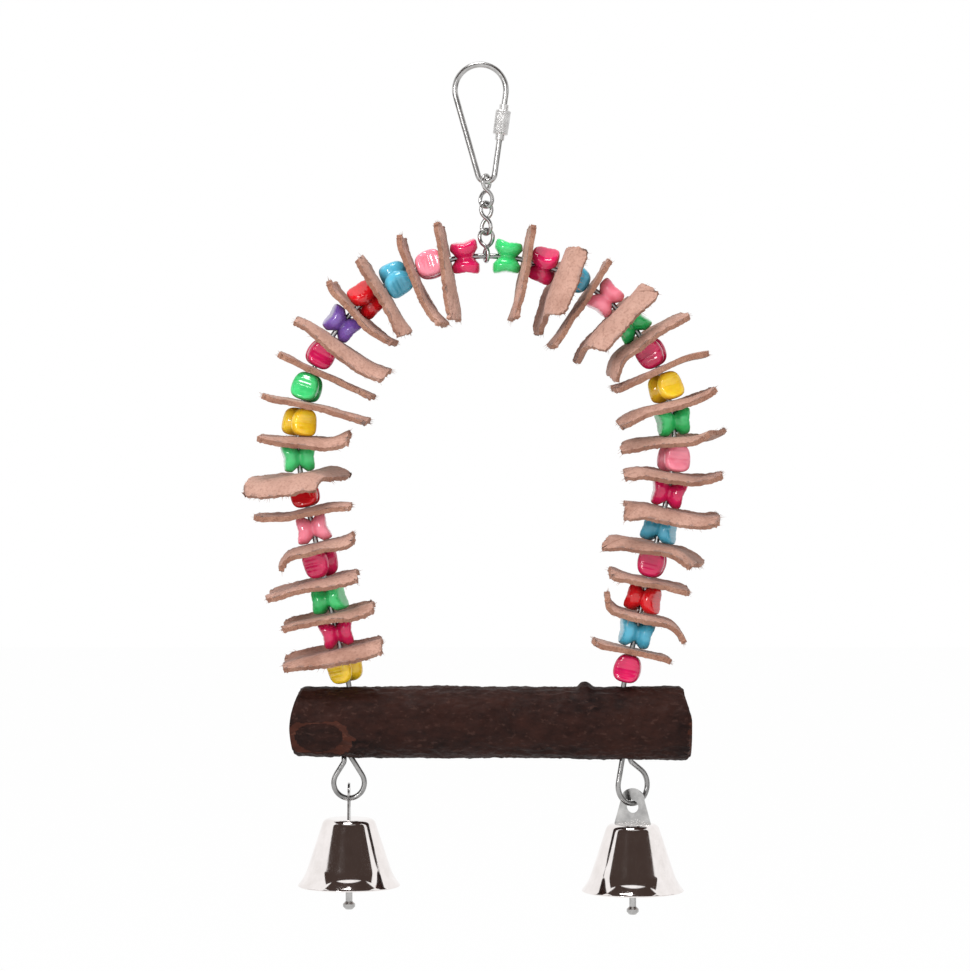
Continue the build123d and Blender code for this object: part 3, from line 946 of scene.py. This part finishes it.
def grow_branch():
    """Branch with lumps and cracks in its bark, its ends sawn a little off square."""
    branch = bmesh.new()
    bmesh.ops.create_grid(branch, x_segments=branch_rows, y_segments=branch_columns, size=1)
    bare = set()
    for vert in branch.verts:
        share = (vert.co.x + 1) / 2
        angle = pi * vert.co.y
        ring = Vector((0, cos(angle), sin(angle)))
        spot = Vector(
            (share * perch_length * bark_scale, ring.y * bark_ring_scale, ring.z * bark_ring_scale)
        )
        lumps = noise.noise(spot * bark_lump_scale) * bark_lumps
        cracks = abs(noise.noise(spot * bark_crack_scale + UP * 7)) * bark_cracks
        rough = noise.noise(spot * bark_rough_scale) * bark_rough
        fine = noise.noise(spot * bark_fine_scale) * bark_fine
        radius = perch_radius + along_table(perch_swell, share) + lumps - cracks + rough + fine
        along_flake = ease(*flake_rise, share) * (1 - ease(*flake_fall, share))
        radius += bark_flake * ease(*flake_top, ring.z) * along_flake
        set_in, tilt, bulge = left_end_bulge
        left_end = perch_left + set_in + tilt * ring.z + bulge * ring.z**2
        right_end = perch_left + perch_length - right_end_set_back * ease(0.1, 1, ring.z)
        level = perch_z + along_table(perch_bow, share)
        centre = Vector((left_end + (right_end - left_end) * share, 0, level))
        near_end = min(share, 1 - share) * perch_length
        radius -= end_rounding * (1 - ease(0, end_rounding_length, near_end))
        vert.co = centre + ring * radius
        torn = (torn_width + torn_spread * noise.noise(ring * 9)) * (1 - ease(-0.2, 0.5, ring.z))
        if (1 - share) * perch_length < torn:
            vert.co -= ring * torn_bark
            bare.add(vert)
        wander = noise.noise(Vector((3, vert.co.y, vert.co.z)) * 420)
        run = vert.co.x - perch_left + facet_line_wander * wander
        cut = facet_depth * (1 - ease(0.72 * facet_length, facet_length, run))
        proud = (vert.co - Vector((0, 0, perch_z))).dot(facet_side) - (perch_radius - cut)
        if proud > 0 and cut > 0:
            knot_run = (vert.co.x - perch_left - knot_from_end) / knot_half_length
            knot_rise = (vert.co.z - perch_z + knot_below_middle) / knot_half_height
            from_line = Vector((knot_run, 0, knot_rise)).length - 1
            groove = knot_groove * exp(-((from_line / knot_groove_width) ** 2))
            ripple = facet_ripple * noise.noise(vert.co * 350) - groove
            vert.co -= facet_side * (proud - ripple)
            if from_line > knot_bark_edge:
                bare.add(vert)
    bmesh.ops.remove_doubles(branch, verts=branch.verts[:], dist=SEAM)
    bare = {vert for vert in bare if vert.is_valid}
    rims = [edge for edge in branch.edges if edge.is_boundary]
    ends = bmesh.ops.holes_fill(branch, edges=rims, sides=0)["faces"]
    sawn = set(bmesh.ops.poke(branch, faces=ends)["faces"])
    bmesh.ops.recalc_face_normals(branch, faces=branch.faces[:])
    for face in branch.faces:
        face.smooth = True
        if face in sawn:
            face.material_index = SAWN
        elif all(vert in bare for vert in face.verts):
            face.material_index = WHITTLED
    return mesh_from(branch, "branch")


drills = []
for hole_x in leg_holes:
    top = Vector((hole_x, 0, perch_z + 2 * perch_radius))
    bottom = Vector((hole_x, 0, perch_z - 2 * perch_radius))
    recess_top = Vector((hole_x, 0, perch_bottom + leg_recess_depth))
    drills.append((leg_hole_radius, bottom, top))
    drills.append((leg_recess_radius, bottom, recess_top))
branch_blank = grow_branch()
for material in (bark, whittled_wood, end_grain):
    branch_blank.materials.append(material)
branch_mesh = drilled(branch_blank, drills)
branch_mesh.set_sharp_from_angle(angle=radians(50))
finish_piece("bark_branch", branch_mesh, [], "swing", "bark", "perch")


# Last bend of each eye's tail, up into the foot of the perch
def bend_tail(end, pointing):
    """Wire that carries on from the end of a tail, bends upright and goes into the wood."""
    wire = bmesh.new()
    across = pointing.cross(UP).normalized()
    pivot = end + across.cross(pointing) * tail_bend_radius
    facing = UP.rotation_difference(pointing).to_matrix().to_4x4()
    bmesh.ops.create_circle(
        wire, cap_ends=True, segments=28, radius=arch_wire_radius, matrix=Matrix.Translation(end) @ facing
    )
    ring = wire.verts[:] + wire.edges[:]
    bent = bmesh.ops.spin(wire, geom=ring, cent=pivot, axis=across, angle=pointing.angle(UP), steps=10)
    last_ring = [part for part in bent["geom_last"] if isinstance(part, bmesh.types.BMEdge)]
    raised = bmesh.ops.extrude_edge_only(wire, edges=last_ring)["geom"]
    top = [part for part in raised if isinstance(part, bmesh.types.BMVert)]
    bmesh.ops.translate(wire, verts=top, vec=UP * tail_rise)
    bmesh.ops.holes_fill(wire, edges=[edge for edge in wire.edges if edge.is_boundary], sides=0)
    bmesh.ops.recalc_face_normals(wire, faces=wire.faces[:])
    for face in wire.faces:
        face.smooth = len(face.verts) == 4
    return mesh_from(wire, "eye_tail")


for side, (end, pointing) in tail_ends.items():
    tail_mesh = bend_tail(end - pointing * tail_overlap, pointing)
    finish_piece(f"{SIDE_NAMES[side]}_eye_tail", tail_mesh, [drawn_wire], "swing", "arch_steel")


# Bells: spun cone with a round shoulder and a flared lip
def spin_bell(foot):
    """Bell shell spun from the line of its outer wall, hung under the eye at foot."""
    crown_z = -bell_crown_drop
    flat_radius = bell_crown_radius - bell_shoulder
    shell = bmesh.new()
    line = [Vector((0, 0, crown_z)), Vector((flat_radius - bell_shoulder, 0, crown_z))]
    for step in range(bell_shoulder_steps + 1):
        turn = bell_shoulder_turn * step / bell_shoulder_steps
        drop = bell_shoulder * (1 - cos(turn))
        line.append(Vector((flat_radius + bell_shoulder * sin(turn), 0, crown_z - drop)))
    wall_top = line[-1]
    for step in range(1, bell_wall_steps + 1):
        share = step / bell_wall_steps
        straight = wall_top.x + (bell_rim_radius - bell_flare - wall_top.x) * share
        flare = bell_flare * (max(share - bell_flare_start, 0) / (1 - bell_flare_start)) ** 2
        level = wall_top.z + (crown_z - bell_height - wall_top.z) * share
        line.append(Vector((straight + flare, 0, level)))
    verts = [shell.verts.new(spot) for spot in line]
    edges = [shell.edges.new(pair) for pair in zip(verts, verts[1:])]
    bmesh.ops.spin(
        shell,
        geom=verts + edges,
        axis=UP,
        cent=(0, 0, 0),
        angle=2 * pi,
        steps=bell_turns,
        use_merge=True,
    )
    bmesh.ops.remove_doubles(shell, verts=shell.verts[:], dist=SPUN_SEAM)
    bmesh.ops.recalc_face_normals(shell, faces=shell.faces[:])
    bmesh.ops.translate(shell, verts=shell.verts[:], vec=foot)
    for face in shell.faces:
        face.smooth = True
    return mesh_from(shell, "bell_shell")


for side, foot in eye_feet.items():
    name = f"{SIDE_NAMES[side]}_bell"
    shell_mesh = spin_bell(foot)
    bell = finish_piece(f"{SIDE_NAMES[side]}_cone_bell", shell_mesh, [bell_nickel], name, "nickel", name)
    wall = bell.modifiers.new("wall", "SOLIDIFY")
    wall.thickness = bell_wall
    wall.offset = -1
    lip = bell.modifiers.new("lip", "BEVEL")
    lip.width = bell_lip
    lip.segments = 3
    lip.limit_method = "ANGLE"
    lip.angle_limit = radians(60)


# Nut: sleeve with a diamond knurl between two plain collars
def knurl_nut():
    """Nut spun about the leg of the quick link, then knurled."""
    sleeve = bmesh.new()
    grip_end = nut_length - nut_collar_length
    grip_start = nut_collar_length + nut_grip_chamfer
    grip_length = grip_end - nut_collar_length - 2 * nut_grip_chamfer
    chamfer_radius = nut_collar_radius - nut_chamfer
    line = [(nut_bore_radius, 0.0), (chamfer_radius, 0.0), (nut_collar_radius, nut_chamfer)]
    line += [(nut_collar_radius, nut_collar_length), (nut_radius - nut_grip_chamfer, nut_collar_length)]
    for row in range(nut_grip_rows + 1):
        line.append((nut_radius, grip_start + grip_length * row / nut_grip_rows))
    line += [(nut_radius - nut_grip_chamfer, grip_end), (nut_collar_radius, grip_end)]
    line += [(nut_collar_radius, nut_length - nut_chamfer), (chamfer_radius, nut_length)]
    line += [(nut_bore_radius, nut_length)]
    verts = [sleeve.verts.new((radius, 0, -drop)) for radius, drop in line]
    edges = [sleeve.edges.new(pair) for pair in zip(verts, verts[1:] + verts[:1])]
    bmesh.ops.spin(
        sleeve,
        geom=verts + edges,
        axis=UP,
        cent=(0, 0, 0),
        angle=2 * pi,
        steps=nut_turns,
        use_merge=True,
    )
    bmesh.ops.remove_doubles(sleeve, verts=sleeve.verts[:], dist=SPUN_SEAM)
    bmesh.ops.recalc_face_normals(sleeve, faces=sleeve.faces[:])
    for vert in sleeve.verts:
        flat = Vector((vert.co.x, vert.co.y, 0))
        if flat.length < nut_radius - 0.05 * MM:
            continue
        turn = flat.to_2d().angle_signed(Vector((1, 0)), 0)
        wave = vert.co.z / nut_radius
        right_hand = abs(sin(nut_knurl_count / 2 * (turn + wave)))
        left_hand = abs(sin(nut_knurl_count / 2 * (turn - wave)))
        cut = right_hand * left_hand
        vert.co -= flat.normalized() * nut_knurl_depth * (1 - cut) ** 2
    turn = UP.rotation_difference(-nut_down).to_matrix().to_4x4()
    bmesh.ops.transform(sleeve, verts=sleeve.verts[:], matrix=Matrix.Translation(nut_top) @ turn)
    for face in sleeve.faces:
        face.smooth = True
    mesh = mesh_from(sleeve, "knurled_sleeve")
    mesh.set_sharp_from_angle(angle=radians(38))
    return mesh


finish_piece("knurled_nut", knurl_nut(), [knurled_steel], "nut", "plated_steel", "quick_link_nut")

# Studio: pale floor, white surround, dark screens that only mirroring surfaces see, and soft lamps
middle = Vector((1.7, 0, -157)) * MM
floor_z = -0.42


def set_stage(name, shape):
    """Piece of the studio that isn't part of the object."""
    stage_piece = bpy.data.objects.new(name, mesh_from(shape, name))
    bpy.context.scene.collection.objects.link(stage_piece)
    return stage_piece


def card(name, width, height, matrix):
    """Flat stage card, its place in its mesh."""
    sheet = bmesh.new()
    bmesh.ops.create_grid(sheet, x_segments=1, y_segments=1, size=0.5)
    bmesh.ops.scale(sheet, vec=(width, height, 1), verts=sheet.verts[:])
    bmesh.ops.transform(sheet, matrix=matrix, verts=sheet.verts[:])
    return set_stage(name, sheet)


def background_share(tree):
    """1 for camera, glossy and transmission rays, which see the plain white surround."""
    paths = add(tree, "ShaderNodeLightPath")
    seen = add(tree, "ShaderNodeMath", operation="MAXIMUM")
    white = add(tree, "ShaderNodeMath", operation="MAXIMUM")
    tree.links.new(paths.outputs["Is Camera Ray"], seen.inputs[0])
    tree.links.new(paths.outputs["Is Glossy Ray"], seen.inputs[1])
    tree.links.new(seen.outputs["Value"], white.inputs[0])
    tree.links.new(paths.outputs["Is Transmission Ray"], white.inputs[1])
    return white.outputs["Value"]


floor = card("floor", width=8, height=8, matrix=Matrix.Translation((0, 0, floor_z)))
floor_paper = bpy.data.materials.new("floor_paper")
floor_paper.use_nodes = True
paper_tree = floor_paper.node_tree
paper_shader = paper_tree.nodes["Principled BSDF"]
paper_shader.inputs["Base Color"].default_value = rgba(0.93, 0.93, 0.93)
paper_shader.inputs["Roughness"].default_value = 0.9
paper_glow = add(paper_tree, "ShaderNodeEmission", {"Strength": 1.0})
paper_mix = add(paper_tree, "ShaderNodeMixShader")
paper_hold = add(paper_tree, "ShaderNodeMath", operation="MULTIPLY")
paper_hold.inputs[1].default_value = 0.985
paper_tree.links.new(background_share(paper_tree), paper_hold.inputs[0])
paper_tree.links.new(paper_hold.outputs["Value"], paper_mix.inputs["Fac"])
paper_tree.links.new(paper_shader.outputs["BSDF"], paper_mix.inputs[1])
paper_tree.links.new(paper_glow.outputs["Emission"], paper_mix.inputs[2])
paper_tree.links.new(paper_mix.outputs["Shader"], paper_tree.nodes["Material Output"].inputs["Surface"])
floor.data.materials.append(floor_paper)

dark_paper = bpy.data.materials.new("dark_paper")
dark_paper.use_nodes = True
dark_tree = dark_paper.node_tree
dark_brown = rgba(0.062, 0.043, 0.037)
dark_glow = add(dark_tree, "ShaderNodeEmission", {"Color": dark_brown, "Strength": 1.0})
dark_tree.links.new(dark_glow.outputs["Emission"], dark_tree.nodes["Material Output"].inputs["Surface"])


def darken(screen):
    """Makes a stage card a dark one that shows in reflections alone."""
    screen.visible_camera = False
    screen.visible_diffuse = False
    screen.visible_transmission = False
    screen.visible_shadow = False
    screen.data.materials.append(dark_paper)


def bent_screen(name, radius, low, high, sweep):
    """Upright screen bent round the swing, its middle on the viewer's side."""
    screen = bmesh.new()
    post = [screen.verts.new((0, -radius, level)) for level in (low, high)]
    edge = screen.edges.new(post)
    bmesh.ops.rotate(screen, verts=post, matrix=Matrix.Rotation(-sweep / 2, 3, "Z"))
    bmesh.ops.spin(screen, geom=post + [edge], axis=UP, cent=(0, 0, 0), angle=sweep, steps=40)
    return set_stage(name, screen)


darken(bent_screen("bell_screen", radius=1.7, low=0.42, high=1.52, sweep=radians(146)))
darken(card("ceiling_card", width=2.6, height=1.45, matrix=Matrix.Translation((0, -0.5, 1.4))))
for side in (LEFT, RIGHT):
    stand = Matrix.Translation((side * 1.5, -0.1, -0.17)) @ Matrix.Rotation(radians(90), 4, "Y")
    darken(card(f"{SIDE_NAMES[side]}_side_card", width=0.5, height=1.0, matrix=stand))

world = bpy.data.worlds.new("studio")
bpy.context.scene.world = world
world.use_nodes = True
sky = world.node_tree
room = sky.nodes["Background"]
room.inputs["Color"].default_value = rgba(1, 1, 1)
room.inputs["Strength"].default_value = 0.42
backdrop = add(sky, "ShaderNodeBackground", {"Color": rgba(1, 1, 1), "Strength": 1.0})
sky_mix = add(sky, "ShaderNodeMixShader")
sky.links.new(background_share(sky), sky_mix.inputs["Fac"])
sky.links.new(room.outputs["Background"], sky_mix.inputs[1])
sky.links.new(backdrop.outputs["Background"], sky_mix.inputs[2])
sky.links.new(sky_mix.outputs["Shader"], sky.nodes["World Output"].inputs["Surface"])


def soft_lamp(name, spot, size, power, mirrored):
    """Square soft box aimed at the middle of the swing, and whether reflections show it."""
    lamp = bpy.data.lights.new(name, "AREA")
    lamp.size = size
    lamp.energy = power
    holder = bpy.data.objects.new(name, lamp)
    holder.location = spot
    holder.rotation_euler = (middle - Vector(spot)).to_track_quat("-Z", "Y").to_euler()
    holder.visible_glossy = mirrored
    bpy.context.scene.collection.objects.link(holder)


soft_lamp("key_lamp", (-0.8, -1.2, 0.75), size=0.7, power=12, mirrored=False)
soft_lamp("fill_lamp", (1.1, -0.9, 0.2), size=0.8, power=5, mirrored=False)
soft_lamp("top_lamp", (-0.15, -0.35, 1.1), size=0.5, power=9.5, mirrored=True)
soft_lamp("glint_lamp", (-0.5, -1.1, 0.12), size=0.2, power=3.0, mirrored=True)

camera_distance = 1.2
frame_width = 364.7 * MM
sensor_width = 36
lens = bpy.data.cameras.new("camera")
lens.sensor_width = sensor_width
lens.lens = sensor_width * camera_distance / frame_width
camera = bpy.data.objects.new("camera", lens)
camera.location = middle - AWAY * camera_distance
camera.rotation_euler = (radians(90), 0, 0)
bpy.context.scene.collection.objects.link(camera)
bpy.context.scene.camera = camera
bpy.context.scene.view_settings.view_transform = "Standard"
